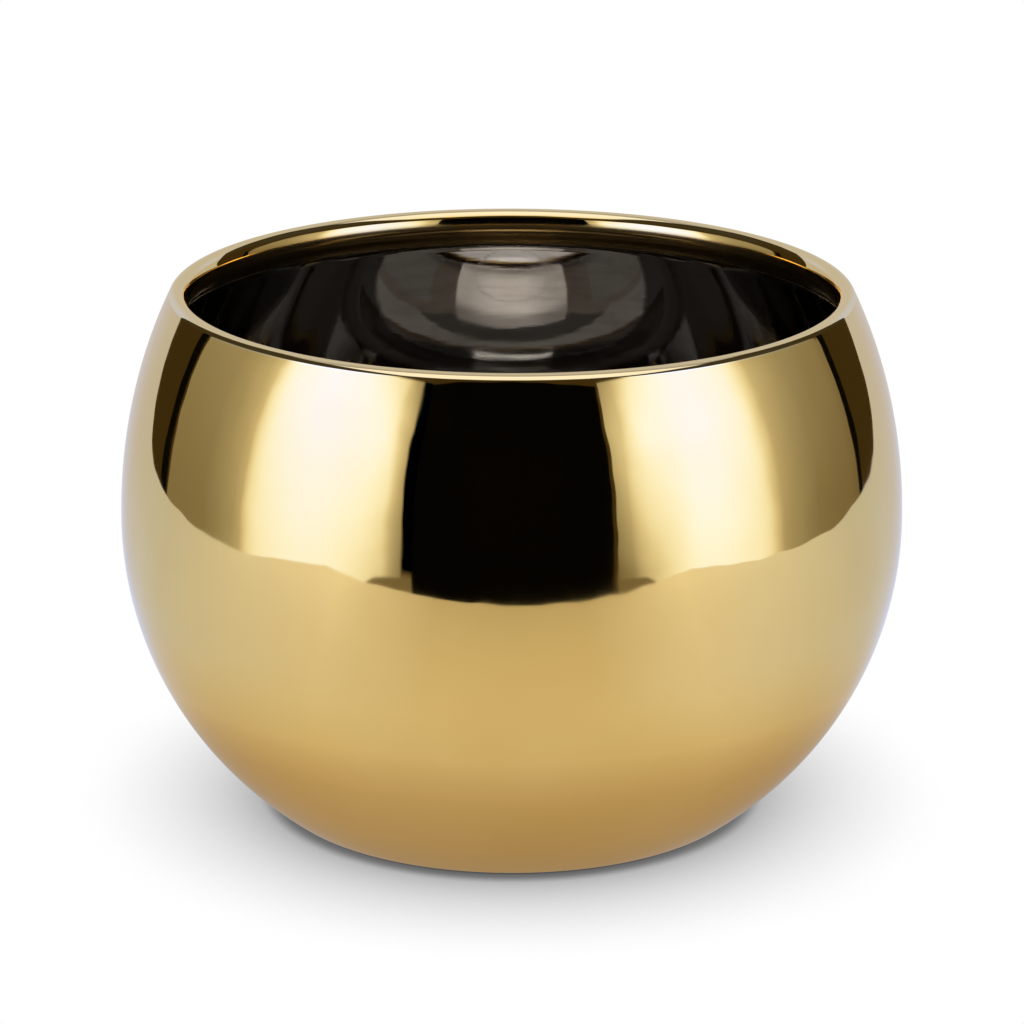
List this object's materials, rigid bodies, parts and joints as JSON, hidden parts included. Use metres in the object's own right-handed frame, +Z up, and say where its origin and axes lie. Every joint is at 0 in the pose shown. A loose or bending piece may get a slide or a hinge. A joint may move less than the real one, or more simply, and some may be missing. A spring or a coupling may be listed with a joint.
{
  "type": "planter pot",
  "caption": "Round ceramic planter pot, mirror gold outside and dark glazed inside, with a drain hole, a lift-out plug and small felt feet.",
  "frame": {"origin": "on the surface the pot stands on, under its middle, level with the undersides of its felt feet", "axes": "+Z up along the pot's axis of symmetry, +X and +Y level; the picture looks along +Y, and the felt feet lie on the diagonals between X and Y"},
  "size_m": [0.2, 0.2, 0.1358],
  "materials": {
    "bare_clay": "matte",
    "mirror_gold": "polished",
    "dark_glaze": "gloss",
    "black_silicone": "satin",
    "felt": "matte"
  },
  "bodies": {
    "pot": {"ceramic_body": "bare_clay", "gold_outer_coat": "mirror_gold", "dark_inner_glaze": "dark_glaze", "felt_foot_1": "felt", "felt_foot_2": "felt", "felt_foot_3": "felt", "felt_foot_4": "felt"},
    "plug": {"drain_plug": "dark_glaze", "plug_seal": "black_silicone"}
  },
  "joints": [
    {"name": "plug_lift", "type": "slide", "parent": "pot", "child": "plug", "axis": [0, 0, 1], "range_m": [0, 0.145]}
  ]
}
